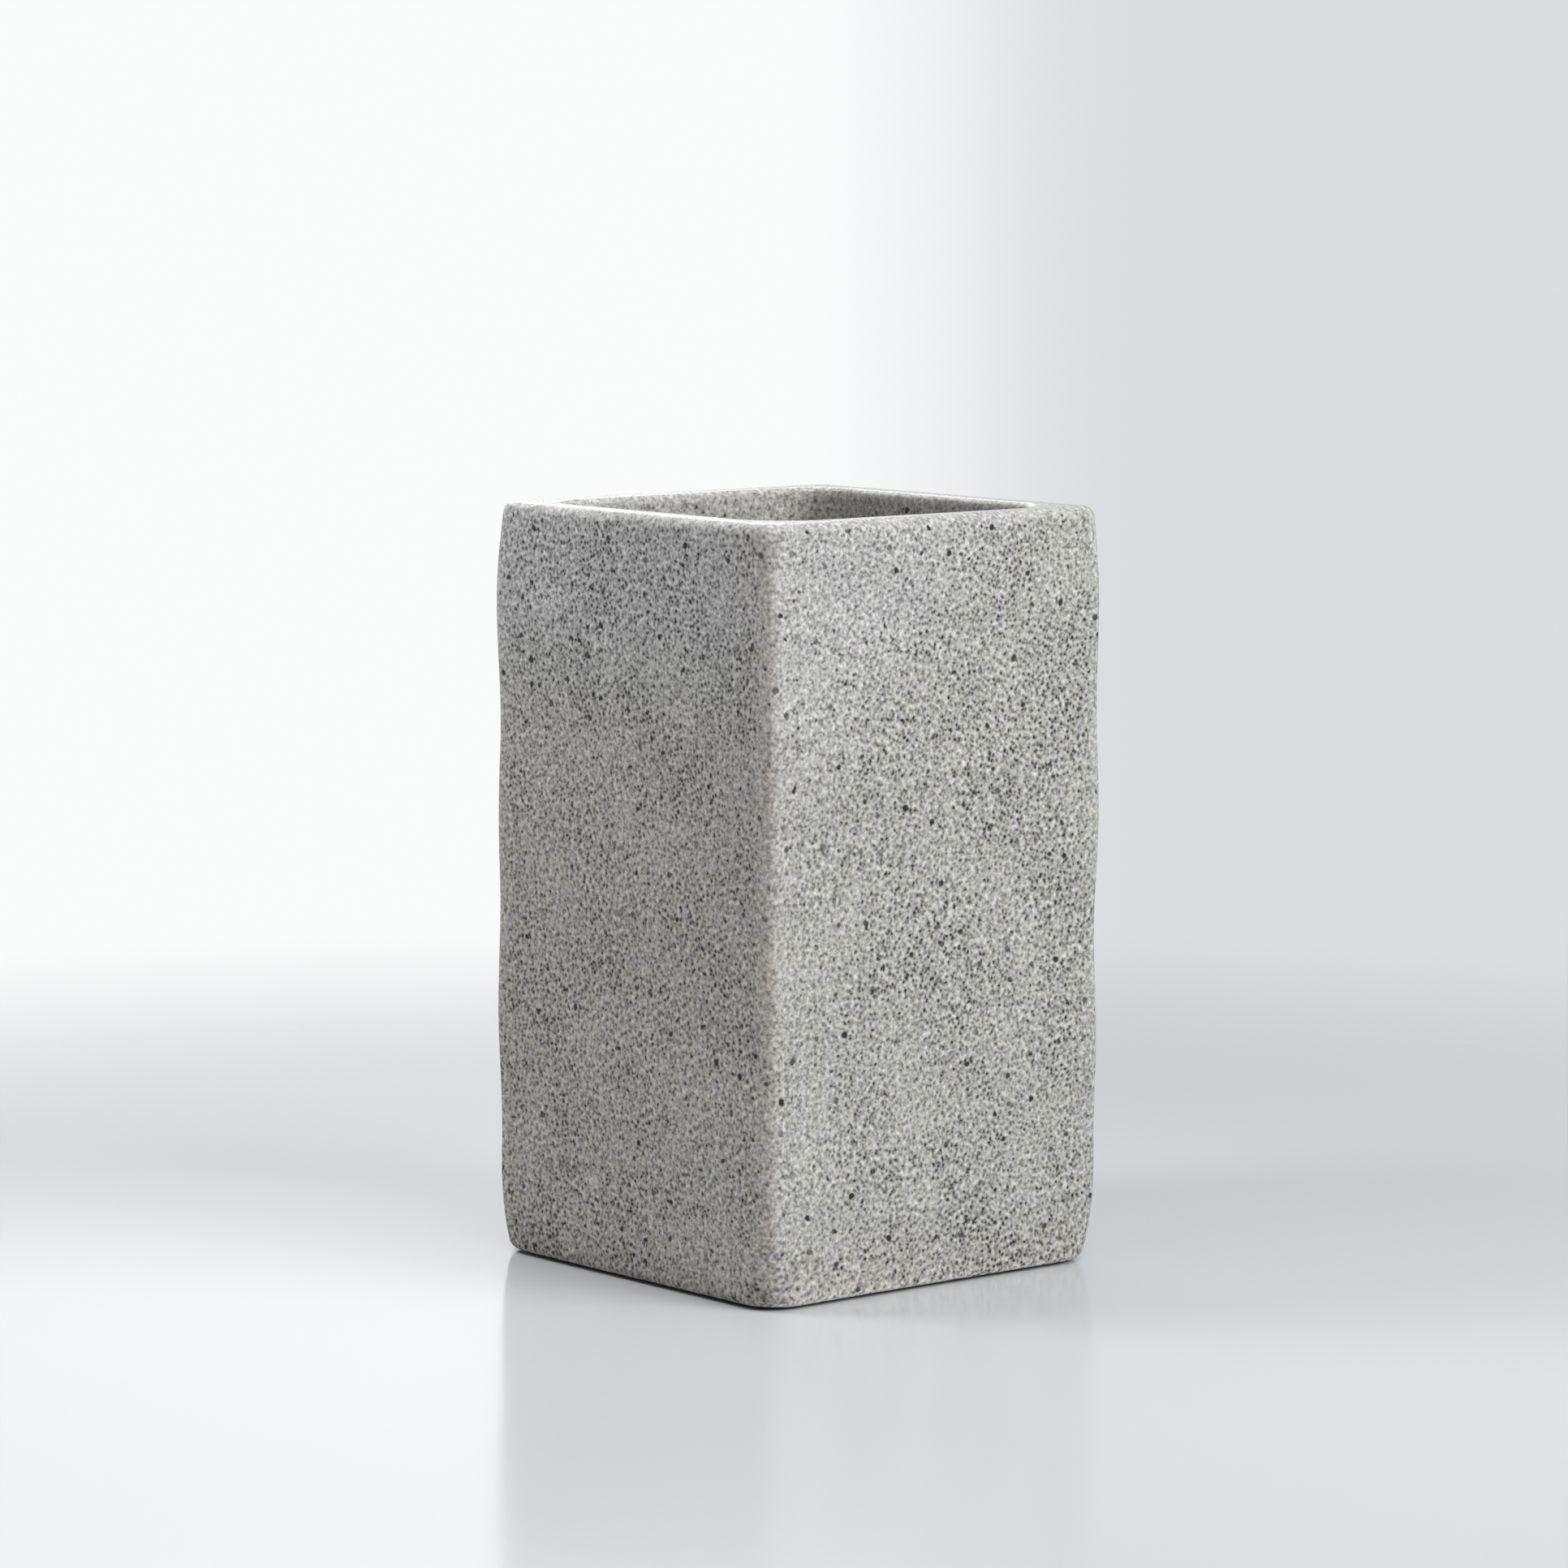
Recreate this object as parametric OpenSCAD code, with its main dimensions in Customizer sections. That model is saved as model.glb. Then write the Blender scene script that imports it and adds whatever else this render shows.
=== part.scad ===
// Square open-top bathroom tumbler, cast in one piece with a stone effect, on four stick-on feet.
// The origin is the centre of the surface that it stands on, and +Z points up through the opening.

/* [Body] */
// Height over all, from the surface it stands on to the rim
body_h = 112; // [95:1:130]
// Outside width from face to opposite face
body_w = 63.8; // [58:0.2:76]
// Thickness of the side walls at the rim
wall_t = 5.5; // [4.5:0.1:7]
// Thickness of the floor under the cavity
floor_t = 7; // [5:0.5:10]

/* [Edges] */
// Radius of the four upright edges at mid height
edge_r = 2; // [1.5:0.1:4]
// How much wider that radius gets at the rim
rim_edge_gain = 1.7; // [1:0.1:3]
// Height of the stretch below the rim in which it widens
rim_widening_h = 14; // [8:1:20]
// How much wider that radius gets at the base
base_edge_gain = 4.5; // [0.5:0.1:5]
// Height of the stretch above the base in which it widens
base_widening_h = 16; // [8:1:20]
// Radius of the rim's outer edge
rim_outer_r = 1.6; // [1:0.1:2.4]
// Radius of the rim's inner edge
rim_inner_r = 1.5; // [0.6:0.1:2]
// Radius of the edge round the underside
base_r = 1.3; // [0.8:0.1:1.9]

/* [Cavity] */
// Radius of the cavity's upright corners
cavity_r = 8; // [6:0.5:12]
// Radius of the hollow where the walls meet the floor
floor_r = 5; // [3:0.5:5.5]
// How far each wall leans in from the rim to the floor, so that the core pulls out
cavity_draft = 0.5; // [0.2:0.1:1.5]

/* [Hand finish] */
// Depth of the broad swells that run round the body
swell = 0.18; // [0:0.02:0.4]
// Height from one broad swell to the next
swell_pitch = 31; // [25:1:60]
// Height of the left edge's topmost swell
swell_top = 97; // [60:1:110]
// Depth of the swells that lean from side to side
lean = 0.11; // [0:0.01:0.3]
// Height from one leaning swell to the next
lean_pitch = 52; // [25:1:60]
// Height of the left edge's middle leaning swell
lean_top = 45; // [20:1:80]

/* [Feet] */
// Diameter of a foot
foot_d = 10; // [6:0.5:12]
// Thickness of a foot
foot_t = 1.4; // [1:0.1:3]
// How far a foot stands proud of the underside
foot_proud = 0.4; // [0.3:0.1:0.9]
// Radius of the edge round the foot's lower face
foot_edge_r = 0.3; // [0.1:0.05:0.4]
// Thickness of the adhesive disc over a foot
adhesive_t = 0.2; // [0.1:0.05:0.5]
// Distance from a side face to the centre of a foot
foot_inset = 10; // [8.5:0.5:12]
// Gap between a foot and the wall of its socket
socket_gap = 0.3; // [0.2:0.05:0.8]

/* [Underside] */
// Width of the shallow recess inside the land that the feet are set in
recess_w = 34; // [20:1:36]
// Depth of that recess
recess_t = 1; // [0.4:0.1:2]
// Radius of its corners
recess_r = 6; // [5:0.5:9]

/* [Hidden] */

// Which way each foot lies from the centre, front being -Y and left -X
front_left = [-1, -1];
front_right = [1, -1];
back_left = [-1, 1];
back_right = [1, 1];

// Plan angle of the left edge, seen across the front edge, where the swells are counted from
left_edge_angle = 135;

// Steps of the loft: along a flat side, round a corner, round an edge, up the wall, down the cavity
flat_steps = 10;
corner_steps = 8;
edge_steps = 5;
wall_steps = 24;
cavity_steps = 4;
round_fn = 64;
cut_overrun = 1;

underside_z = foot_proud;
floor_z = underside_z + floor_t;
socket_top_z = foot_t + adhesive_t;
socket_d = foot_d + 2 * socket_gap;
foot_offset = body_w / 2 - foot_inset;
wall_low_z = underside_z + base_r;
wall_high_z = body_h - rim_outer_r;
cavity_low_z = floor_z + floor_r;
cavity_high_z = body_h - rim_inner_r;

stone_grey = [0.69, 0.69, 0.67];
foot_grey = [0.36, 0.35, 0.33];
adhesive_tan = [0.80, 0.76, 0.66];

// Share of the way into the stretch where the upright edges widen, 0 outside it and 1 at its end
function rim_share(z) = max(0, 1 - (body_h - z) / rim_widening_h);
function base_share(z) = max(0, 1 - (z - underside_z) / base_widening_h);

// Radius of the upright edges at a height
function edge_radius(z) =
    edge_r + rim_edge_gain * pow(rim_share(z), 2) + base_edge_gain * pow(base_share(z), 2);

// How far the hand-finished surface swells out at a plan angle and a height
function swelling(angle, z) =
    swell * cos(360 * (z - swell_top) / swell_pitch + 2 * (angle - left_edge_angle))
    + lean * cos(360 * (z - lean_top) / lean_pitch + (angle - left_edge_angle));

function turned(p, angle) =
    [p.x * cos(angle) - p.y * sin(angle), p.x * sin(angle) + p.y * cos(angle)];

// One side of a rounded square: its flat stretch, then the corner that follows it
function side_points(half, r) = concat(
    [for (i = [0 : flat_steps - 1]) [half, (half - r) * (2 * i / flat_steps - 1)]],
    [for (j = [0 : corner_steps - 1])
        [half - r + r * cos(90 * j / corner_steps), half - r + r * sin(90 * j / corner_steps)]]);

function rounded_square(half, r) =
    [for (side = [0 : 3]) each [for (p = side_points(half, r)) turned(p, 90 * side)]];

function outer_ring(z, inset) =
    [for (p = rounded_square(body_w / 2 - inset, edge_radius(z) - inset))
        let (far = norm(p), grown = p * (far + swelling(atan2(p.y, p.x), z)) / far)
        [grown.x, grown.y, z]];

function cavity_ring(z, half, r) = [for (p = rounded_square(half, r)) [p.x, p.y, z]];

function cavity_half(z) =
    body_w / 2 - wall_t - cavity_draft * (cavity_high_z - z) / (cavity_high_z - cavity_low_z);

// Rings from the underside up the outer face, over the rim and down the cavity to its floor
function body_rings() = concat(
    [for (k = [0 : edge_steps]) let (a = 90 * k / edge_steps)
        outer_ring(wall_low_z - base_r * cos(a), base_r * (1 - sin(a)))],
    [for (k = [1 : wall_steps - 1])
        outer_ring(wall_low_z + (wall_high_z - wall_low_z) * k / wall_steps, 0)],
    [for (k = [0 : edge_steps]) let (a = 90 * k / edge_steps)
        outer_ring(wall_high_z + rim_outer_r * sin(a), rim_outer_r * (1 - cos(a)))],
    [for (k = [0 : edge_steps]) let (a = 90 * k / edge_steps, out = rim_inner_r * (1 - sin(a)))
        cavity_ring(cavity_high_z + rim_inner_r * cos(a), cavity_half(cavity_high_z) + out, cavity_r + out)],
    [for (k = [1 : cavity_steps]) let (z = cavity_high_z + (cavity_low_z - cavity_high_z) * k / cavity_steps)
        cavity_ring(z, cavity_half(z), cavity_r)],
    [for (k = [1 : edge_steps]) let (a = 90 * k / edge_steps, in = floor_r * (1 - cos(a)))
        cavity_ring(cavity_low_z - floor_r * sin(a), cavity_half(cavity_low_z) - in, cavity_r - in)]);

// A closed skin over a stack of rings that have the same number of points
module loft(rings) {
    count = len(rings[0]);
    last = len(rings) - 1;
    points = [for (ring = rings) each ring];
    walls = [for (k = [0 : last - 1], i = [0 : count - 1])
        let (a = k * count + i, b = k * count + (i + 1) % count, c = b + count, d = a + count)
        each [[a, d, c], [a, c, b]]];
    first_cap = [for (i = [0 : count - 1]) i];
    last_cap = [for (i = [0 : count - 1]) last * count + count - 1 - i];
    polyhedron(points, concat(walls, [first_cap, last_cap]), convexity = 4);
}

// A square block with round upright corners, centred on the origin
module rounded_slab(width, r, height) {
    straight = width - 2 * r;
    translate([-width / 2, -straight / 2, 0]) cube([width, straight, height]);
    translate([-straight / 2, -width / 2, 0]) cube([straight, width, height]);
    for (x = [-straight / 2, straight / 2], y = [-straight / 2, straight / 2])
        translate([x, y, 0]) cylinder(r = r, h = height, $fn = round_fn);
}

// Everything under one corner is drawn round its own centre and carried there
module at_foot(corner) {
    translate([corner.x * foot_offset, corner.y * foot_offset, 0]) children();
}

module tumbler_body() {
    color(stone_grey) difference() {
        loft(body_rings());
        for (corner = [front_left, front_right, back_left, back_right])
            at_foot(corner) translate([0, 0, -cut_overrun])
                cylinder(d = socket_d, h = socket_top_z + cut_overrun, $fn = round_fn);
        translate([0, 0, underside_z - cut_overrun])
            rounded_slab(recess_w, recess_r, recess_t + cut_overrun);
    }
}

// A round foot, flat below and above, with its lower edge rounded off
module foot(corner) {
    edge = [for (k = [0 : edge_steps]) let (a = 90 * k / edge_steps)
        [foot_d / 2 - foot_edge_r * (1 - sin(a)), foot_edge_r * (1 - cos(a))]];
    color(foot_grey) at_foot(corner)
        rotate_extrude($fn = round_fn) polygon(concat([[0, 0]], edge, [[foot_d / 2, foot_t], [0, foot_t]]));
}

module adhesive(corner) {
    color(adhesive_tan) at_foot(corner)
        translate([0, 0, foot_t]) cylinder(d = foot_d, h = adhesive_t, $fn = round_fn);
}

tumbler_body();
foot(front_left);  // foot_front_left
foot(front_right);  // foot_front_right
foot(back_left);  // foot_back_left
foot(back_right);  // foot_back_right
adhesive(front_left);  // adhesive_front_left
adhesive(front_right);  // adhesive_front_right
adhesive(back_left);  // adhesive_back_left
adhesive(back_right);  // adhesive_back_right
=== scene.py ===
# Looks of the square stone-effect bathroom tumbler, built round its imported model. Lengths are in metres.
import math

import bmesh
import bpy
import numpy as np
from mathutils import Matrix, Vector, noise


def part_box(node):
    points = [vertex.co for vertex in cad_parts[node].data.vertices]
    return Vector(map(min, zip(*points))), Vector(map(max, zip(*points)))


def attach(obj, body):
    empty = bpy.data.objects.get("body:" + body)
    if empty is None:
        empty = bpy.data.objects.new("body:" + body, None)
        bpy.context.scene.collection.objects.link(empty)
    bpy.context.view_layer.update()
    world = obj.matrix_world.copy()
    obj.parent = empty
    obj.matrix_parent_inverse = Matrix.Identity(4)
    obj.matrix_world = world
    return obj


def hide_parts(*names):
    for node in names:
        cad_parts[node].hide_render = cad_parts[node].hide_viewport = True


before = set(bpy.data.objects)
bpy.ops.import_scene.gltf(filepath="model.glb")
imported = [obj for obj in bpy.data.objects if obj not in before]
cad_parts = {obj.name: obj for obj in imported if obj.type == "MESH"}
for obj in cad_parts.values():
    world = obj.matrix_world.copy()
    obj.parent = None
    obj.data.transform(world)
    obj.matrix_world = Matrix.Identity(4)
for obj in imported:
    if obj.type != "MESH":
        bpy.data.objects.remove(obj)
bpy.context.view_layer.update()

MM = 0.001

# The body's sizes, which are those of its solid
BODY_LOW, BODY_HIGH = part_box("tumbler_body")
RIM_Z = BODY_HIGH[2]
UNDERSIDE_Z = BODY_LOW[2]
BODY_W = 63.8 * MM
WALL_T = 5.5 * MM
FLOOR_T = 7 * MM
EDGE_R = 2 * MM
RIM_EDGE_GAIN = 1.7 * MM
RIM_WIDENING_H = 14 * MM
BASE_EDGE_GAIN = 4.5 * MM
BASE_WIDENING_H = 16 * MM
RIM_OUTER_R = 1.6 * MM
RIM_INNER_R = 1.5 * MM
BASE_R = 1.3 * MM
CAVITY_R = 8 * MM
FLOOR_R = 5 * MM
CAVITY_DRAFT = 0.5 * MM
SWELL = 0.18 * MM
SWELL_PITCH = 31 * MM
SWELL_TOP = 97 * MM
LEAN = 0.11 * MM
LEAN_PITCH = 52 * MM
LEAN_TOP = 45 * MM
LEFT_EDGE_ANGLE = math.radians(135)
RECESS_W = 34 * MM
RECESS_T = 1 * MM
RECESS_R = 6 * MM
SOCKET_GAP = 0.3 * MM
CUT_LIP_R = 0.2 * MM

FEET = ("front_left", "front_right", "back_left", "back_right")

# Steps of the meshes
FLAT_STEPS = 84
CORNER_STEPS = 8
EDGE_STEPS = 8
WALL_STEPS = 160
CAVITY_STEPS = 44
ROUND_STEPS = 72
LIP_STEPS = 4
RECESS_STEPS = 12

# Fine unevenness of the cast surface: how deep, and how far from one dimple to the next
DIMPLE = 0.05 * MM
DIMPLE_PITCH = 5 * MM
GRIT = 0.02 * MM
GRIT_PITCH = 1.6 * MM
GRIT_SHIFT = Vector((7.3, 1.9, 4.1))


# Geometry of the body

def rim_share(z):
    return max(0.0, 1 - (RIM_Z - z) / RIM_WIDENING_H)


def base_share(z):
    return max(0.0, 1 - (z - UNDERSIDE_Z) / BASE_WIDENING_H)


def edge_radius(z):
    return EDGE_R + RIM_EDGE_GAIN * rim_share(z) ** 2 + BASE_EDGE_GAIN * base_share(z) ** 2


def swelling(angle, z):
    turn = angle - LEFT_EDGE_ANGLE
    broad = SWELL * np.cos(2 * math.pi * (z - SWELL_TOP) / SWELL_PITCH + 2 * turn)
    return broad + LEAN * np.cos(2 * math.pi * (z - LEAN_TOP) / LEAN_PITCH + turn)


def rounded_square(half, r, flat_steps=FLAT_STEPS, corner_steps=CORNER_STEPS):
    """Points of a square with round corners, counterclockwise from its right side."""
    flat = [(half, (half - r) * (2 * i / flat_steps - 1)) for i in range(flat_steps)]
    turns = [math.pi / 2 * j / corner_steps for j in range(corner_steps)]
    corner = [(half - r + r * math.cos(a), half - r + r * math.sin(a)) for a in turns]
    side = np.array(flat + corner)
    quarter = np.array([[0, 1], [-1, 0]])
    sides = [side]
    for _ in range(3):
        sides.append(sides[-1] @ quarter)
    return np.concatenate(sides)


def circle(centre, r):
    angles = np.arange(ROUND_STEPS) * 2 * math.pi / ROUND_STEPS
    return np.stack([centre[0] + r * np.cos(angles), centre[1] + r * np.sin(angles)], 1)


def at_height(plan, z):
    return np.column_stack([plan, np.full(len(plan), z)])


def outer_ring(z, inset):
    plan = rounded_square(BODY_W / 2 - inset, edge_radius(z) - inset)
    far = np.linalg.norm(plan, axis=1)
    grown = plan * ((far + swelling(np.arctan2(plan[:, 1], plan[:, 0]), z)) / far)[:, None]
    return at_height(grown, z)


def quarter_turn(steps):
    return [math.pi / 2 * k / steps for k in range(steps + 1)]


def body_rings():
    """Rings from the underside up the outer face, over the rim and down the cavity to its floor."""
    wall_low = UNDERSIDE_Z + BASE_R
    wall_high = RIM_Z - RIM_OUTER_R
    cavity_low = UNDERSIDE_Z + FLOOR_T + FLOOR_R
    cavity_high = RIM_Z - RIM_INNER_R

    def cavity_half(z):
        return BODY_W / 2 - WALL_T - CAVITY_DRAFT * (cavity_high - z) / (cavity_high - cavity_low)

    rings = []
    for a in quarter_turn(EDGE_STEPS):
        rings.append(outer_ring(wall_low - BASE_R * math.cos(a), BASE_R * (1 - math.sin(a))))
    for k in range(1, WALL_STEPS):
        rings.append(outer_ring(wall_low + (wall_high - wall_low) * k / WALL_STEPS, 0))
    for a in quarter_turn(EDGE_STEPS):
        rings.append(outer_ring(wall_high + RIM_OUTER_R * math.sin(a), RIM_OUTER_R * (1 - math.cos(a))))
    for a in quarter_turn(EDGE_STEPS):
        out = RIM_INNER_R * (1 - math.sin(a))
        plan = rounded_square(cavity_half(cavity_high) + out, CAVITY_R + out)
        rings.append(at_height(plan, cavity_high + RIM_INNER_R * math.cos(a)))
    for k in range(1, CAVITY_STEPS + 1):
        z = cavity_high + (cavity_low - cavity_high) * k / CAVITY_STEPS
        rings.append(at_height(rounded_square(cavity_half(z), CAVITY_R), z))
    for a in quarter_turn(EDGE_STEPS)[1:]:
        inward = FLOOR_R * (1 - math.cos(a))
        plan = rounded_square(cavity_half(cavity_low) - inward, CAVITY_R - inward)
        rings.append(at_height(plan, cavity_low - FLOOR_R * math.sin(a)))
    return rings


def add_rings(bm, rings):
    """Joins rings of equal length by quads, closes the last one, and returns the first ring's vertices."""
    rows = [[bm.verts.new(p) for p in ring] for ring in rings]
    count = len(rows[0])
    for low, high in zip(rows, rows[1:]):
        for i in range(count):
            j = (i + 1) % count
            bm.faces.new((low[i], low[j], high[j], high[i])).smooth = True
    middle = bm.verts.new(sum((v.co for v in rows[-1]), Vector()) / count)
    for i in range(count):
        bm.faces.new((rows[-1][i], rows[-1][(i + 1) % count], middle))
    return rows[0]


def close_loop(bm, row):
    return [bm.edges.get((a, b)) or bm.edges.new((a, b)) for a, b in zip(row, row[1:] + row[:1])]


def cut_rings(outline, depth):
    """Rings of a blind cut in the underside: a rolled lip, its wall, a rolled inner corner and its roof.
    outline(offset) gives the plan points, widened by offset."""
    rings = []
    for a in quarter_turn(LIP_STEPS):
        sink = CUT_LIP_R * (1 - math.cos(a))
        rings.append(at_height(outline(CUT_LIP_R * (1 - math.sin(a))), UNDERSIDE_Z + sink))
    for a in quarter_turn(LIP_STEPS):
        rise = CUT_LIP_R * math.sin(a)
        plan = outline(-CUT_LIP_R * (1 - math.cos(a)))
        rings.append(at_height(plan, UNDERSIDE_Z + depth - CUT_LIP_R + rise))
    return rings


def roughen(bm):
    """Sinks each vertex along its normal by the fine unevenness of a cast surface, which fades out at the
    underside."""
    bm.normal_update()
    moves = []
    for v in bm.verts:
        fade = min(1.0, max(0.0, (v.co.z - UNDERSIDE_Z) / BASE_R))
        dimples = (1 - noise.noise(v.co / DIMPLE_PITCH)) / 2
        grit = (1 - noise.noise(v.co / GRIT_PITCH + GRIT_SHIFT)) / 2
        moves.append(v.normal * (-fade * (DIMPLE * dimples + GRIT * grit)))
    for v, move in zip(bm.verts, moves):
        v.co += move


def finished_object(bm, name, material):
    mesh = bpy.data.meshes.new(name)
    bm.to_mesh(mesh)
    bm.free()
    mesh.materials.append(material)
    piece = bpy.data.objects.new(name, mesh)
    bpy.context.scene.collection.objects.link(piece)
    return piece


def foot_centre(corner):
    low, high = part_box("foot_" + corner)
    return (low[0] + high[0]) / 2, (low[1] + high[1]) / 2


def recess_outline(offset):
    return rounded_square(RECESS_W / 2 + offset, RECESS_R + offset, RECESS_STEPS, RECESS_STEPS)


def make_body(material):
    bm = bmesh.new()
    borders = close_loop(bm, add_rings(bm, body_rings()))
    roughen(bm)
    foot_low, foot_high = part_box("foot_front_left")
    roof_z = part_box("adhesive_front_left")[1][2]
    socket_r = (foot_high[0] - foot_low[0]) / 2 + SOCKET_GAP
    for corner in FEET:
        centre = foot_centre(corner)
        rings = cut_rings(lambda offset: circle(centre, socket_r + offset), roof_z - UNDERSIDE_Z)
        borders += close_loop(bm, add_rings(bm, rings))
    borders += close_loop(bm, add_rings(bm, cut_rings(recess_outline, RECESS_T)))
    bmesh.ops.triangle_fill(bm, edges=borders, use_beauty=True)
    bmesh.ops.recalc_face_normals(bm, faces=bm.faces)
    piece = finished_object(bm, "stone_body", material)
    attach(piece, "root")
    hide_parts("tumbler_body")


# Shader nodes

class Shader:
    """A material's or world's node tree, with short calls for the nodes that are used over and over."""

    def __init__(self, owner):
        owner.use_nodes = True
        self.tree = owner.node_tree
        self.tree.nodes.clear()

    def add(self, kind, inputs=None, **settings):
        node = self.tree.nodes.new(kind)
        for key, value in settings.items():
            setattr(node, key, value)
        for key, value in (inputs or {}).items():
            self.put(node.inputs[key], value)
        return node

    def put(self, socket, value):
        if isinstance(value, bpy.types.NodeSocket):
            self.tree.links.new(value, socket)
        else:
            socket.default_value = value

    def math(self, operation, a, b=0.0, clamp=False):
        return self.add("ShaderNodeMath", {0: a, 1: b}, operation=operation, use_clamp=clamp).outputs[0]

    def product(self, first, *others):
        for other in others:
            first = self.math("MULTIPLY", first, other)
        return first

    def less(self, whole, part):
        """whole, with that share of it taken away."""
        return self.math("MULTIPLY", whole, self.math("SUBTRACT", 1.0, part))

    def ramp(self, value, low, high, to_low=0.0, to_high=1.0):
        """value taken smoothly from low..high to to_low..to_high."""
        inputs = {"Value": value, "From Min": low, "From Max": high, "To Min": to_low, "To Max": to_high}
        return self.add("ShaderNodeMapRange", inputs, interpolation_type="SMOOTHSTEP").outputs["Result"]

    def spread(self, value, gain):
        """value's departure from its middle, 0.5, times gain."""
        return self.math("MULTIPLY", self.math("SUBTRACT", value, 0.5), gain)

    def choose(self, there, yes, no):
        """yes where there is 1, no where it is 0."""
        return self.add("ShaderNodeMix", {0: there, 2: no, 3: yes}, data_type="FLOAT").outputs[0]

    def mix(self, factor, a, b):
        inputs = {"Factor": factor, 6: a, 7: b}
        return self.add("ShaderNodeMix", inputs, data_type="RGBA").outputs[2]

    def scaled(self, vector, factor):
        inputs = {0: vector, "Scale": factor}
        return self.add("ShaderNodeVectorMath", inputs, operation="SCALE").outputs[0]

    def parts(self, vector):
        return self.add("ShaderNodeSeparateXYZ", {0: vector}).outputs

    def length(self, vector):
        return self.add("ShaderNodeVectorMath", {0: vector}, operation="LENGTH").outputs["Value"]

    def plan_length(self, u, v):
        return self.length(self.add("ShaderNodeCombineXYZ", {0: u, 1: v}).outputs[0])

    def noise(self, position, per_mm, detail=2.0, roughness=0.5):
        inputs = {"Vector": position, "Scale": per_mm, "Detail": detail, "Roughness": roughness}
        return self.add("ShaderNodeTexNoise", inputs).outputs["Fac"]

    def cells(self, position, spacing_mm, flat, randomness=1.0):
        inputs = {"Vector": position, "Scale": 1 / spacing_mm, "Randomness": randomness}
        return self.add("ShaderNodeTexVoronoi", inputs, voronoi_dimensions="2D" if flat else "3D")

    def bump(self, height, strength, depth):
        inputs = {"Strength": strength, "Distance": depth, "Height": height}
        return self.add("ShaderNodeBump", inputs).outputs["Normal"]

    def principled(self, inputs):
        return self.add("ShaderNodeBsdfPrincipled", inputs).outputs[0]

    def finish(self, surface, kind="ShaderNodeOutputMaterial"):
        self.add(kind, {"Surface": surface})


def rgba(r, g, b):
    return (r, g, b, 1.0)


def position_mm(shader, shift=(0.0, 0.0, 0.0)):
    """The point on the object in millimetres, moved by shift."""
    point = shader.add("ShaderNodeTexCoord").outputs["Object"]
    inputs = {0: point, 1: (1 / MM, 1 / MM, 1 / MM), 2: shift}
    return shader.add("ShaderNodeVectorMath", inputs, operation="MULTIPLY_ADD").outputs[0]


def wobbled(shader, position, per_mm, reach):
    """The position, pushed about by a fine noise, so that grains aren't round."""
    inputs = {"Vector": position, "Scale": per_mm, "Detail": 1.0}
    cloud = shader.add("ShaderNodeTexNoise", inputs).outputs["Color"]
    inputs = {0: cloud, 1: (0.5, 0.5, 0.5)}
    centred = shader.add("ShaderNodeVectorMath", inputs, operation="SUBTRACT").outputs[0]
    inputs = {0: centred, 1: (reach, reach, reach), 2: position}
    return shader.add("ShaderNodeVectorMath", inputs, operation="MULTIPLY_ADD").outputs[0]


def grains(shader, position, spacing, small_r, large_r, share, weak, soft, flat=False):
    """Mask of grains set at random in the stone, or flat on a face: one to a cell of that spacing, in that
    share of the cells, with radii from small_r to large_r, all in mm, strengths from weak to 1, and an edge
    that fades over soft mm."""
    cell = shader.cells(position, spacing, flat)
    luck = shader.add("ShaderNodeSeparateColor", {"Color": cell.outputs["Color"]}).outputs
    r = shader.ramp(luck[0], 0.0, 1.0, small_r / spacing, large_r / spacing)
    low = shader.math("SUBTRACT", r, soft / spacing / 2)
    high = shader.math("ADD", r, soft / spacing / 2)
    disc = shader.ramp(cell.outputs["Distance"], low, high, 1.0, 0.0)
    there = shader.math("LESS_THAN", luck[1], share)
    strength = shader.ramp(luck[2], 0.0, 1.0, weak, 1.0)
    return shader.product(disc, there, strength)


def close_grain(shader, position, spacing, far, weak, randomness):
    """Close net of soft dots, 1 in the middle of a cell and 0 from far on, which is a share of the spacing,
    with strengths from weak to 1."""
    cell = shader.cells(position, spacing, flat=True, randomness=randomness)
    luck = shader.add("ShaderNodeSeparateColor", {"Color": cell.outputs["Color"]}).outputs[0]
    dot = shader.ramp(cell.outputs["Distance"], 0.0, far, 1.0, 0.0)
    return shader.math("MULTIPLY", dot, shader.ramp(luck, 0.0, 1.0, weak, 1.0))


# How the flat grain is laid on the faces: its place moves by a shift for each step of the face's distance
# from the middle, and the side faces and the level ones have shifts of their own
FACE_STEP_MM = 5.0
FACE_SHIFT_MM = 71.3
SIDE_SHIFT_MM = 219.0
TOP_SHIFT_MM = 333.0


def on_face_mm(shader, turn):
    """Where a point lies on its own face, in mm, turned so that no row of cells runs level. Each face has a
    pattern of its own, because its distance from the middle shifts the place along it."""
    x, y, z = shader.parts(position_mm(shader))
    normal = shader.add("ShaderNodeTexCoord").outputs["Normal"]
    across, along, up = [shader.math("ABSOLUTE", part) for part in shader.parts(normal)]

    def shifted(place, away):
        step = shader.math("FLOOR", shader.math("DIVIDE", away, FACE_STEP_MM))
        return shader.math("ADD", place, shader.math("MULTIPLY", step, FACE_SHIFT_MM))

    sideways = shader.math("ADD", shifted(y, x), SIDE_SHIFT_MM)
    u = shader.choose(shader.math("GREATER_THAN", across, along), sideways, shifted(x, y))
    level = shader.math("GREATER_THAN", up, shader.math("MAXIMUM", across, along))
    u = shader.choose(level, x, u)
    v = shader.choose(level, shader.math("ADD", y, TOP_SHIFT_MM), z)
    flat = shader.add("ShaderNodeCombineXYZ", {0: u, 1: v}).outputs[0]
    turned = shader.add("ShaderNodeVectorRotate", {"Vector": flat, "Angle": math.radians(turn)},
                        rotation_type="Z_AXIS")
    return turned.outputs[0]


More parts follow.
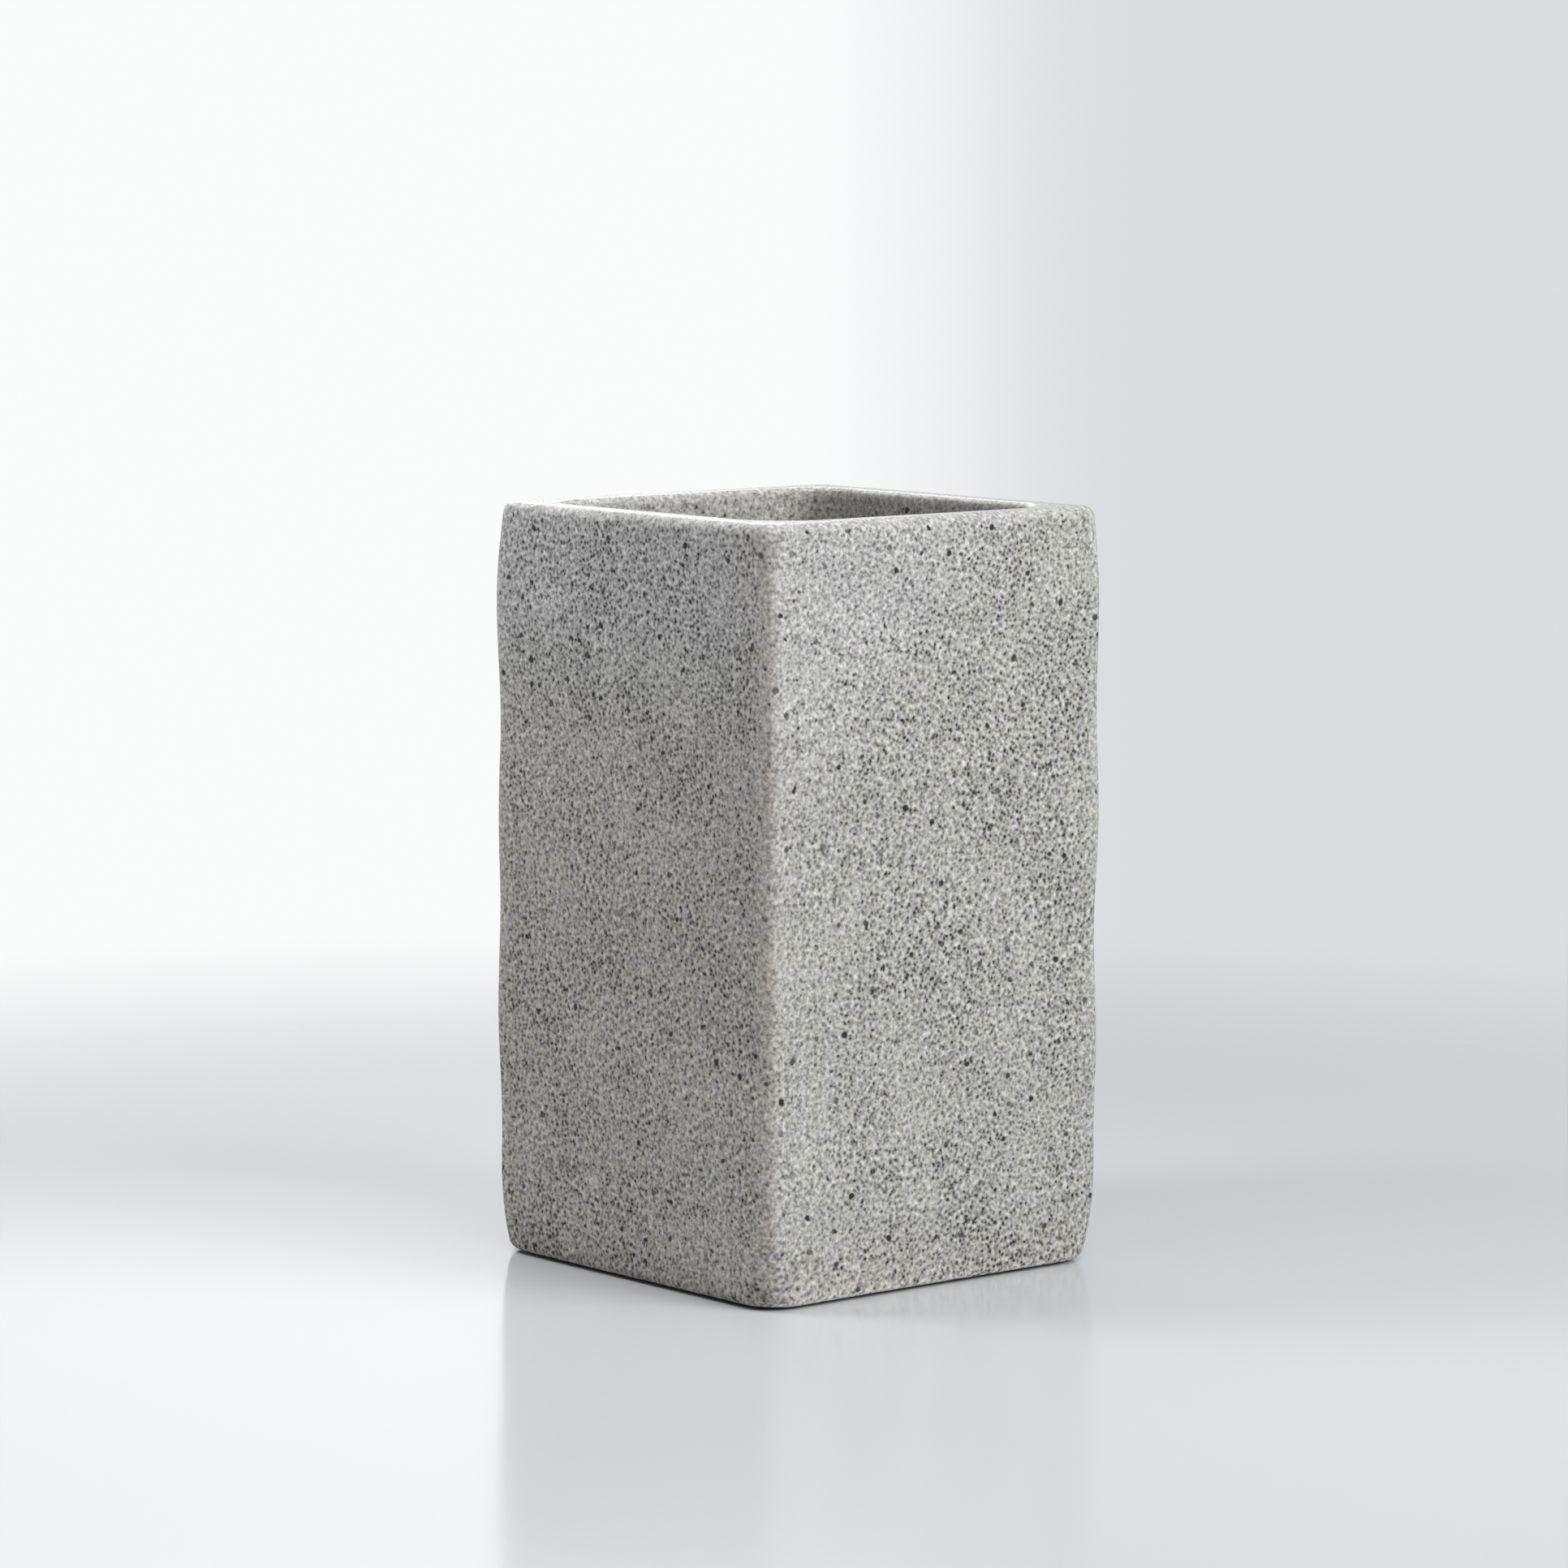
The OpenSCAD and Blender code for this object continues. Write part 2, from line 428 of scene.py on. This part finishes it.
# Places on the body in mm: its rim and underside, its upright edges, the top of the skin below the cavity,
# the cavity's walls, over how much the cavity's mask fades, and the rounding round the base
RIM_MM = RIM_Z / MM
UNDERSIDE_MM = UNDERSIDE_Z / MM
UPRIGHT_EDGE_MM = 32.0
BASE_SKIN_MM = 4.0
CAVITY_EDGE_MM = 26.8
MASK_FADE_MM = 1.0
BASE_ROUNDING_MM = (29.5, 30.8)

# The diagonal across the right-hand front face: how far it rises for each mm away from the front edge
DIAGONAL_RISE = 1.05


def towards_rim(s, z, start, end, at_rim):
    """1 up to start mm below the rim, and at_rim from end mm below it on."""
    return s.ramp(z, RIM_MM - start, RIM_MM - end, 1.0, at_rim)


def outermost(s, x, y):
    return s.math("MAXIMUM", s.math("ABSOLUTE", x), s.math("ABSOLUTE", y))


def above_diagonal(s, x, z):
    from_edge = s.math("ADD", x, UPRIGHT_EDGE_MM)
    return s.math("SUBTRACT", z, s.math("MULTIPLY", from_edge, DIAGONAL_RISE))


def inside_cavity(s, point):
    """1 on the inner walls and the cavity's floor, 0 on the outside."""
    x, y, z = s.parts(point)
    above_skin = s.ramp(z, BASE_SKIN_MM, BASE_SKIN_MM + MASK_FADE_MM)
    level = s.math("MULTIPLY", above_skin, towards_rim(s, z, start=0.8, end=0.25, at_rim=0.0))
    within = s.ramp(outermost(s, x, y), CAVITY_EDGE_MM, CAVITY_EDGE_MM + MASK_FADE_MM, 1.0, 0.0)
    return s.math("MULTIPLY", within, level)


# Wear along the upright edges: the distances from an edge over which the grains come back, how far that
# border wanders and how often per mm, and the share of the grains left at the edge, from low down to high up
EDGE_WEAR_MM = (1.0, 4.5)
EDGE_WANDER_MM = 3.0
EDGE_WANDER_PER_MM = 0.22
EDGE_WEAR_Z_MM = (15.0, 60.0)
EDGE_GRAINS = (0.80, 0.35)

# The calm stretch high up on the right-hand front face: where it sets in above the diagonal, how calm it is
# beside the front edge and how far that reaches, how deep it goes, and the share of the grains left in it
CALM_RISE_MM = (50.0, 105.0)
CALM_BESIDE_EDGE = 0.75
CALM_X_MM = (-30.0, -10.0)
CALM_Y_MM = (-30.0, -28.0)
CALM_GRAINS = 0.62
# Share of the grains left on the rim's top: a painted sheen that washes out the speckle
RIM_SHEEN_GRAINS = 0.15


def wear_and_sheen_bite(s, point):
    """How much of the grains is left: less along the upright edges, on the rim, where fewer grains are a
    painted sheen, and on the right-hand front face high up and beside the front edge."""
    x, y, z = s.parts(point)
    corner = [s.math("SUBTRACT", UPRIGHT_EDGE_MM, s.math("ABSOLUTE", part)) for part in (x, y)]
    wander = s.spread(s.noise(point, EDGE_WANDER_PER_MM), EDGE_WANDER_MM)
    from_edge = s.math("ADD", s.plan_length(*corner), wander)
    by_edge = s.ramp(from_edge, *EDGE_WEAR_MM, s.ramp(z, *EDGE_WEAR_Z_MM, *EDGE_GRAINS), 1.0)
    beside_edge = s.ramp(x, *CALM_X_MM, CALM_BESIDE_EDGE, 0.0)
    calm = s.math("MAXIMUM", s.ramp(above_diagonal(s, x, z), *CALM_RISE_MM), beside_edge)
    calm = s.math("MULTIPLY", calm, s.ramp(y, *CALM_Y_MM, 1.0, 0.0))
    # Painted sheen: the rim keeps only a share of its grains
    by_rim = towards_rim(s, z, start=2.0, end=0.5, at_rim=RIM_SHEEN_GRAINS)
    return s.product(by_edge, by_rim, s.ramp(calm, 0.0, 1.0, 1.0, CALM_GRAINS))


# The stone's mean reflectance, the limits of its brightness, and its tints
STONE_ALBEDO = 0.310
STONE_LIMITS = (0.03, 0.80)
STONE_NEUTRAL = rgba(1.040, 1.033, 1.022)
STONE_OLIVE = rgba(0.985, 0.982, 0.912)
STONE_BROWN = rgba(1.075, 0.985, 0.885)
STONE_BLUSH = rgba(1.025, 0.990, 0.990)

# Olive gives way to neutral above the diagonal, along a border that wanders
TINT_WANDER_MM = 40.0
TINT_WANDER_PER_MM = 0.06
OLIVE_RISE_MM = (56.0, 76.0)

# Brown along the front edge and the base, in clouds, all over the left face low down, and in the cavity: how
# far each reaches and how strong it is. Right of the front edge it is weaker.
BROWN_EDGE_MM = (0.5, 11.0)
BROWN_EDGE_Z_MM = (75.0, 105.0)
BROWN_EDGE_HIGH = 0.5
BROWN_BASE_MM = (0.0, 13.0)
BROWN_BASE_WANDER = 0.3
BROWN_CLOUDS_PER_MM = 0.16
BROWN_CLOUDS_SHIFT = (5.0, 41.0, 13.0)
BROWN_CLOUDS_SPAN = (0.35, 0.65)
BROWN_CLOUDS_LOW = 0.5
BROWN_FACE_Z_MM = (70.0, 100.0)
BROWN_FACE = 0.42
BROWN_CAVITY = 0.15
LEFT_BORDER_MM = (-3.0, 0.5)
RIGHT_EDGE_SHARE = 0.2
RIGHT_BASE_SHARE = 0.65

# Rose clouds
BLUSH_PER_MM = 0.35
BLUSH_SHIFT = (53.0, 29.0, 2.0)
BLUSH_SPAN = (0.50, 0.75)

# Painted shade in the cavity: it is darker, most of all its wall on the +X side, and more so deeper down
CAVITY_SHADE_X_MM = (19.5, 25.5)
CAVITY_SHADE_WALLS = (0.86, 0.44)
CAVITY_SHADE_Z_MM = (98.0, 111.0)
CAVITY_SHADE_LOW = 0.80


def brown_share(s, point, wander, inside):
    """How brown the stone is, from 0 to 1."""
    x, y, z = s.parts(point)
    left = s.ramp(s.math("SUBTRACT", y, x), *LEFT_BORDER_MM, RIGHT_EDGE_SHARE, 1.0)
    from_edge = s.plan_length(s.math("ADD", x, UPRIGHT_EDGE_MM), s.math("ADD", y, UPRIGHT_EDGE_MM))
    near_edge = s.product(s.ramp(from_edge, *BROWN_EDGE_MM, 1.0, 0.0), left,
                          s.ramp(z, *BROWN_EDGE_Z_MM, 1.0, BROWN_EDGE_HIGH))
    from_base = s.math("ADD", z, s.math("MULTIPLY", wander, BROWN_BASE_WANDER))
    near_base = s.math("MULTIPLY", s.ramp(from_base, *BROWN_BASE_MM, 1.0, 0.0),
                       s.ramp(left, RIGHT_EDGE_SHARE, 1.0, RIGHT_BASE_SHARE, 1.0))
    clouds = s.noise(position_mm(s, BROWN_CLOUDS_SHIFT), BROWN_CLOUDS_PER_MM)
    clouds = s.ramp(clouds, *BROWN_CLOUDS_SPAN, BROWN_CLOUDS_LOW, 1.0)
    brown = s.math("MULTIPLY", s.math("MAXIMUM", near_edge, near_base), clouds)
    on_face = s.math("MULTIPLY", left, s.ramp(z, *BROWN_FACE_Z_MM, BROWN_FACE, 0.0))
    brown = s.math("MAXIMUM", brown, on_face)
    return s.math("MAXIMUM", brown, s.math("MULTIPLY", inside, BROWN_CAVITY))


def stone_cast(s, point):
    """Faint tint of the stone: neutral high up on the left, olive below and to the right, brown in places,
    rose in clouds, and darkened by painted shade in the cavity."""
    x, y, z = s.parts(point)
    inside = inside_cavity(s, point)
    wander = s.spread(s.noise(point, TINT_WANDER_PER_MM), TINT_WANDER_MM)
    olive = s.ramp(s.math("ADD", above_diagonal(s, x, z), wander), *OLIVE_RISE_MM, 1.0, 0.0)
    cast = s.mix(olive, STONE_NEUTRAL, STONE_OLIVE)
    cast = s.mix(brown_share(s, point, wander, inside), cast, STONE_BROWN)
    blush = s.ramp(s.noise(position_mm(s, BLUSH_SHIFT), BLUSH_PER_MM, detail=1.0), *BLUSH_SPAN)
    cast = s.mix(blush, cast, STONE_BLUSH)
    # Painted shade: the cavity's walls are darkened, most on the +X side and deeper down
    cavity_shade = s.math("MULTIPLY", s.ramp(x, *CAVITY_SHADE_X_MM, *CAVITY_SHADE_WALLS), s.ramp(z, *CAVITY_SHADE_Z_MM, CAVITY_SHADE_LOW, 1.0))
    return s.scaled(cast, s.choose(inside, cavity_shade, 1.0))


# Broad patches in which the stone is a little lighter or darker, and its grains stand out less or more
PATCHES_PER_MM = 0.085
PATCHES_SPAN = (-0.18, 0.18)
PATCHES_BITE = (0.87, 1.20)
PATCHES_TONE = -0.34
CAVITY_BITE = 0.5

# The ground's mottle is two noises
MOTTLE_PER_MM = 1.35
MOTTLE_GAIN = 1.6
FINE_MOTTLE_PER_MM = 2.6
FINE_MOTTLE_GAIN = 1.60
FINE_MOTTLE_SHIFT = (19.0, 3.0, 7.0)

# How much the grains take away from the ground's tone, as shares of the stone's mean brightness
GROUND_TONE = 1.60
DOTS_DEPTH = 1.20
DARK_DEPTH = 1.00
BLACK_DEPTH = 0.97

# How the grains are laid: the turn of the flat ones in degrees, the dark ones' shift, and the share of
# cells with a black speck, which goes by the patches
DOTS_TURN = 31.0
BLACK_TURN = 74.0
DARK_SHIFT = (3.0, 71.0, 55.0)
BLACK_SPAN = (-0.12, 0.15)
BLACK_SHARE = (0.35, 0.95)
# Share of the black specks left on the rim's top: a painted sheen
RIM_SHEEN_BLACK = 0.3

# Right of the front edge the edge round the base is lightened by painted light, left of it the foot is
# # darkened by painted shade, and the rim's top is darkened by painted shade
PAINTED_BASE_LIGHT_H_MM = 1.6
PAINTED_BASE_LIGHT = 0.6
PAINTED_FOOT_SHADE_TOP_MM = 7.0
PAINTED_FOOT_SHADE = 0.20
SHADED_SIDE_BORDER_MM = (-2.0, 1.0)
PAINTED_RIM_SHADE = 0.88

# Relief and roughness
TOOTH_PER_MM = 3.2
TOOTH = 0.55
DOTS_SINK = 0.4
DARK_SINK = 0.6
STONE_BUMP = 0.3
STONE_BUMP_DEPTH = 0.06 * MM
STONE_IOR = 1.45
STONE_SPECULAR = 0.35
ROUGH_PER_MM = 1.1
ROUGH_SPAN = (0.3, 0.7)
STONE_ROUGH = (0.48, 0.60)
GRAIN_ROUGH = 0.25
RIM_ROUGH = 0.38


def stone_grains(s, point, patches):
    """Masks of the stone's soft dots, its darker grains and its black specks."""
    dots = close_grain(s, wobbled(s, on_face_mm(s, DOTS_TURN), per_mm=0.9, reach=0.5),
                       spacing=0.80, far=0.72, weak=0.45, randomness=0.92)
    dark = grains(s, wobbled(s, position_mm(s, DARK_SHIFT), per_mm=1.2, reach=0.4),
                  spacing=1.9, small_r=0.20, large_r=0.42, share=0.50, weak=0.2, soft=0.34)
    black = grains(s, wobbled(s, on_face_mm(s, BLACK_TURN), per_mm=0.9, reach=0.7),
                   spacing=4.6, small_r=0.18, large_r=0.50, share=s.ramp(patches, *BLACK_SPAN, *BLACK_SHARE),
                   weak=0.45, soft=0.30, flat=True)
    z = s.parts(point)[2]
    # Painted sheen: fewer black specks on the rim's top
    return dots, dark, s.math("MULTIPLY", black, towards_rim(s, z, start=1.3, end=0.3, at_rim=RIM_SHEEN_BLACK))


def stone_tone(s, point, patches, dots, dark):
    """Brightness of the mottled ground with its dots and dark grains."""
    bite = s.product(s.ramp(patches, *PATCHES_SPAN, *PATCHES_BITE),
                     s.ramp(inside_cavity(s, point), 0.0, 1.0, 1.0, CAVITY_BITE), wear_and_sheen_bite(s, point))
    tone = s.spread(s.noise(point, MOTTLE_PER_MM, detail=0.0), MOTTLE_GAIN)
    fine = s.noise(position_mm(s, FINE_MOTTLE_SHIFT), FINE_MOTTLE_PER_MM, detail=0.0)
    tone = s.math("ADD", tone, s.spread(fine, FINE_MOTTLE_GAIN))
    tone = s.math("ADD", tone, s.math("MULTIPLY", patches, PATCHES_TONE))
    tone = s.math("SUBTRACT", tone, s.product(dots, bite, DOTS_DEPTH))
    tone = s.math("SUBTRACT", tone, s.product(dark, bite, DARK_DEPTH))
    return s.math("MULTIPLY", s.math("ADD", tone, GROUND_TONE), STONE_ALBEDO)


def with_painted_light_and_shade(s, point, bright):
    """bright, with painted light on the edge round the base, painted shade at the foot and painted shade on
    the rim's top.
    """
    x, y, z = s.parts(point)
    left = s.ramp(s.math("SUBTRACT", y, x), *SHADED_SIDE_BORDER_MM)
    # Painted light: the down-facing edge round the base is made paler right of the front edge
    pale = s.ramp(z, UNDERSIDE_MM, UNDERSIDE_MM + PAINTED_BASE_LIGHT_H_MM, PAINTED_BASE_LIGHT, 0.0)
    pale = s.math("MULTIPLY", pale, s.ramp(outermost(s, x, y), *BASE_ROUNDING_MM))
    bright = s.math("MULTIPLY", bright, s.math("ADD", s.less(pale, left), 1.0))
    # Painted shade: the foot of the face left of the front edge is darkened
    bright = s.less(bright, s.math("MULTIPLY", s.ramp(z, UNDERSIDE_MM, PAINTED_FOOT_SHADE_TOP_MM, PAINTED_FOOT_SHADE, 0.0), left))
    # Painted shade: the rim's top is darkened
    return s.math("MULTIPLY", bright, towards_rim(s, z, start=1.5, end=0.5, at_rim=PAINTED_RIM_SHADE))


def stone_relief(s, point, dots, dark, black):
    """A fine tooth all over, in which the grains lie a little low."""
    height = s.math("MULTIPLY", s.noise(point, TOOTH_PER_MM, detail=3.0, roughness=0.6), TOOTH)
    height = s.math("SUBTRACT", height, s.math("MULTIPLY", dots, DOTS_SINK))
    height = s.math("SUBTRACT", height, s.math("MULTIPLY", s.math("MAXIMUM", dark, black), DARK_SINK))
    return s.bump(height, STONE_BUMP, STONE_BUMP_DEPTH)


def stone_roughness(s, point, dots, black):
    """Dots and black specks are rougher than the ground, and the rim's top is rubbed smoother."""
    rough = s.ramp(s.noise(point, ROUGH_PER_MM), *ROUGH_SPAN, *STONE_ROUGH)
    rough = s.math("ADD", rough, s.math("MULTIPLY", s.math("MAXIMUM", dots, black), GRAIN_ROUGH))
    z = s.parts(point)[2]
    return s.math("MULTIPLY", rough, towards_rim(s, z, start=0.9, end=0.2, at_rim=RIM_ROUGH))


def stone_material():
    """Pale grey stone: a close grain of soft dark dots on a mottled ground, darker grains and a few black
    specks."""
    material = bpy.data.materials.new("speckled_stone")
    s = Shader(material)
    point = position_mm(s)
    patches = s.spread(s.noise(point, PATCHES_PER_MM, detail=3.0, roughness=0.6), 1.0)
    dots, dark, black = stone_grains(s, point, patches)
    bright = with_painted_light_and_shade(s, point, stone_tone(s, point, patches, dots, dark))
    bright = s.less(bright, s.math("MULTIPLY", black, BLACK_DEPTH))
    bright = s.math("MINIMUM", s.math("MAXIMUM", bright, STONE_LIMITS[0]), STONE_LIMITS[1])
    s.finish(s.principled({
        "Base Color": s.scaled(stone_cast(s, point), bright),
        "Roughness": stone_roughness(s, point, dots, black),
        "IOR": STONE_IOR,
        "Normal": stone_relief(s, point, dots, dark, black),
        "Specular IOR Level": STONE_SPECULAR}))
    return material


RUBBER_DARK = rgba(0.060, 0.058, 0.055)
RUBBER_BLOOM = rgba(0.115, 0.110, 0.104)
RUBBER_BLOOM_SPAN = (0.35, 0.7)
RUBBER_ROUGH = (0.62, 0.82)
RUBBER_IOR = 1.5
RUBBER_BUMP = 0.3
RUBBER_BUMP_DEPTH = 0.04 * MM


def rubber_material():
    """Dark rubber with a faint bloom and a fine grain."""
    material = bpy.data.materials.new("foot_rubber")
    s = Shader(material)
    point = position_mm(s)
    bloom = s.ramp(s.noise(point, per_mm=0.45, detail=4.0, roughness=0.65), *RUBBER_BLOOM_SPAN)
    grain = s.noise(point, per_mm=7.0)
    s.finish(s.principled({
        "Base Color": s.mix(bloom, RUBBER_DARK, RUBBER_BLOOM),
        "Roughness": s.ramp(bloom, 0.0, 1.0, *RUBBER_ROUGH),
        "IOR": RUBBER_IOR,
        "Normal": s.bump(grain, RUBBER_BUMP, RUBBER_BUMP_DEPTH)}))
    return material


FILM_DARK = rgba(0.60, 0.55, 0.42)
FILM_LIGHT = rgba(0.66, 0.62, 0.50)
FILM_BUBBLE = rgba(0.74, 0.72, 0.64)
FILM_CLOUD_SPAN = (0.3, 0.7)
FILM_BUBBLE_SHARE = 0.5
FILM_ROUGH = (0.30, 0.45)
FILM_IOR = 1.48


def adhesive_material():
    """Cloudy straw-coloured adhesive film, with small trapped bubbles."""
    material = bpy.data.materials.new("adhesive_film")
    s = Shader(material)
    point = position_mm(s)
    cloud = s.ramp(s.noise(point, per_mm=0.6, detail=3.0, roughness=0.6), *FILM_CLOUD_SPAN)
    bubbles = grains(s, point, spacing=0.7, small_r=0.05, large_r=0.16, share=0.4, weak=0.4, soft=0.05)
    colour = s.mix(cloud, FILM_DARK, FILM_LIGHT)
    s.finish(s.principled({
        "Base Color": s.mix(s.math("MULTIPLY", bubbles, FILM_BUBBLE_SHARE), colour, FILM_BUBBLE),
        "Roughness": s.ramp(cloud, 0.0, 1.0, *FILM_ROUGH),
        "IOR": FILM_IOR}))
    return material


# Feet and adhesive discs

FOOT_LOWER_R = 0.3 * MM
FOOT_UPPER_R = 0.12 * MM
FOOT_FACE_SHARES = (0.3, 0.6, 0.85)


def make_foot(corner, material):
    """A turned disc: a flat lower face, a rolled lower edge, a straight side and a slightly broken upper
    edge."""
    low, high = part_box("foot_" + corner)
    centre = foot_centre(corner)
    r = (high[0] - low[0]) / 2
    rings = [at_height(circle(centre, r * share), low[2]) for share in FOOT_FACE_SHARES]
    for a in quarter_turn(EDGE_STEPS):
        rings.append(at_height(circle(centre, r - FOOT_LOWER_R * (1 - math.sin(a))),
                               low[2] + FOOT_LOWER_R * (1 - math.cos(a))))
    for a in quarter_turn(EDGE_STEPS):
        rings.append(at_height(circle(centre, r - FOOT_UPPER_R * (1 - math.cos(a))),
                               high[2] - FOOT_UPPER_R * (1 - math.sin(a))))
    bm = bmesh.new()
    first = add_rings(bm, rings)
    bm.faces.new(list(reversed(first)))
    bmesh.ops.recalc_face_normals(bm, faces=bm.faces)
    piece = finished_object(bm, "foot_pad_" + corner, material)
    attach(piece, "root")
    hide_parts("foot_" + corner)


def finish_adhesive(corner, material):
    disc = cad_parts["adhesive_" + corner]
    disc.data.materials.clear()
    disc.data.materials.append(material)


# The set: floor, light and camera

FLOOR_W = 6.0
FLOOR_STEPS = 24
FLOOR_FADE_START = 0.11
FLOOR_FADE_END = 0.36
FLOOR_COLOUR = rgba(0.658, 0.683, 0.706)
FLOOR_ROUGH = 0.14
FLOOR_IOR = 1.40
BACKDROP_LEFT = rgba(0.955, 0.960, 0.965)
BACKDROP_RIGHT = rgba(0.700, 0.725, 0.745)
BACKDROP_FROM = 0.0
BACKDROP_TO = 0.06
BACKDROP_GLOSS = 0.76
SKY_WHITE = rgba(1.0, 1.0, 1.0)
SKY_LOW = 0.045
SKY_HIGH = 0.47

# The photograph's view crosses the tumbler's front edge, and this is its direction to the right
CAMERA_TURN = math.radians(40.06)
TO_THE_RIGHT = (math.cos(CAMERA_TURN), -math.sin(CAMERA_TURN), 0.0)


def make_world():
    """A backdrop that is white on the left and pale grey on the right, a little dimmer in reflections, and
    for the rays that light the object a sky that is bright overhead."""
    world = bpy.data.worlds.new("studio")
    bpy.context.scene.world = world
    s = Shader(world)
    direction = s.add("ShaderNodeTexCoord").outputs["Generated"]
    rightwards = s.add("ShaderNodeVectorMath", {0: direction, 1: TO_THE_RIGHT}, operation="DOT_PRODUCT")
    side = s.ramp(rightwards.outputs["Value"], BACKDROP_FROM, BACKDROP_TO)
    path = s.add("ShaderNodeLightPath").outputs
    gloss = s.math("MULTIPLY", path["Is Glossy Ray"], 1 - BACKDROP_GLOSS)
    backdrop = s.add("ShaderNodeBackground", {"Color": s.mix(side, BACKDROP_LEFT, BACKDROP_RIGHT),
                                              "Strength": s.math("SUBTRACT", 1.0, gloss)})
    brightness = s.ramp(s.parts(direction)[2], 0.0, 1.0, SKY_LOW, SKY_HIGH)
    sky = s.add("ShaderNodeBackground", {"Color": SKY_WHITE, "Strength": brightness})
    direct = s.math("ADD", path["Is Camera Ray"], path["Is Glossy Ray"])
    direct = s.math("ADD", direct, path["Is Transmission Ray"], clamp=True)
    both = s.add("ShaderNodeMixShader", {0: direct, 1: sky.outputs[0], 2: backdrop.outputs[0]})
    s.finish(both.outputs[0], "ShaderNodeOutputWorld")


def floor_material():
    """A pale, glossy top that fades into the backdrop away from the object."""
    material = bpy.data.materials.new("pale_floor")
    s = Shader(material)
    surface = s.principled({"Base Color": FLOOR_COLOUR, "Roughness": FLOOR_ROUGH, "IOR": FLOOR_IOR})
    distance = s.length(s.add("ShaderNodeTexCoord").outputs["Object"])
    fade = s.ramp(distance, FLOOR_FADE_START, FLOOR_FADE_END)
    clear = s.add("ShaderNodeBsdfTransparent").outputs[0]
    s.finish(s.add("ShaderNodeMixShader", {0: fade, 1: surface, 2: clear}).outputs[0])
    return material


def make_floor():
    bm = bmesh.new()
    bmesh.ops.create_grid(bm, x_segments=FLOOR_STEPS, y_segments=FLOOR_STEPS, size=FLOOR_W / 2)
    floor = finished_object(bm, "floor", floor_material())


def make_softbox(name, direction, distance, width, height, watts, mirrored):
    """A rectangular lamp that faces the middle of the tumbler from that direction, seen or not in what is
    glossy."""
    middle = Vector((0, 0, RIM_Z / 2))
    towards = Vector(direction).normalized()
    light = bpy.data.lights.new(name, "AREA")
    light.shape = "RECTANGLE"
    light.size = width
    light.size_y = height
    light.energy = watts
    lamp = bpy.data.objects.new(name, light)
    lamp.location = middle + towards * distance
    lamp.rotation_euler = towards.to_track_quat("Z", "Y").to_euler()
    lamp.visible_camera = False
    lamp.visible_glossy = mirrored
    bpy.context.scene.collection.objects.link(lamp)


def make_lights():
    """A key from the right and a weaker one near the front, two lamps behind, which the floor mirrors, and
    two small ones near the top, for the falling off of the light down the front faces."""
    make_softbox("key_right", direction=(0.40, -1.00, 0.55), distance=0.75, width=0.40, height=0.40,
                 watts=3.42, mirrored=False)
    make_softbox("key_near", direction=(-0.15, -0.75, 0.85), distance=0.45, width=0.25, height=0.25,
                 watts=0.44, mirrored=False)
    make_softbox("back", direction=(0.15, 0.90, 0.42), distance=0.95, width=1.10, height=0.60,
                 watts=1.05, mirrored=True)
    make_softbox("rim", direction=(0.40, 0.78, 0.42), distance=0.90, width=0.50, height=0.25,
                 watts=0.68, mirrored=True)
    make_softbox("left_top", direction=(-0.13, 0.08, 0.20), distance=0.25, width=0.08, height=0.08,
                 watts=0.285, mirrored=False)
    make_softbox("right_top", direction=(-0.01, -0.13, 0.20), distance=0.25, width=0.08, height=0.08,
                 watts=0.11, mirrored=False)


# The photograph's camera: it looks down a little, past the front edge and a little off the diagonal
PHOTO_W = 1932
FOCAL_PIXELS = 7281
SENSOR_W_MM = 36.0
CAMERA_TILT = math.radians(6.68)
CAMERA_ROLL = math.radians(0.15)
CAMERA_AWAY = 0.8659
CAMERA_ASIDE = -0.0019
CAMERA_Z = 0.1719
CLIP_NEAR = 0.01
CLIP_FAR = 20.0


def make_camera():
    data = bpy.data.cameras.new("camera")
    data.sensor_width = SENSOR_W_MM
    data.lens = SENSOR_W_MM * FOCAL_PIXELS / PHOTO_W
    data.clip_start = CLIP_NEAR
    data.clip_end = CLIP_FAR
    camera = bpy.data.objects.new("camera", data)
    turn = Matrix.Rotation(-CAMERA_TURN, 4, "Z")
    place = Matrix.Translation(Vector((CAMERA_ASIDE, -CAMERA_AWAY, CAMERA_Z)))
    tilt = Matrix.Rotation(math.pi / 2 - CAMERA_TILT, 4, "X")
    camera.matrix_world = turn @ place @ tilt @ Matrix.Rotation(CAMERA_ROLL, 4, "Z")
    bpy.context.scene.collection.objects.link(camera)
    bpy.context.scene.camera = camera


make_camera()
make_world()
make_floor()
make_lights()
bpy.context.scene.view_settings.view_transform = "Standard"

make_body(stone_material())
rubber = rubber_material()
film = adhesive_material()
for corner in FEET:
    make_foot(corner, rubber)
    finish_adhesive(corner, film)
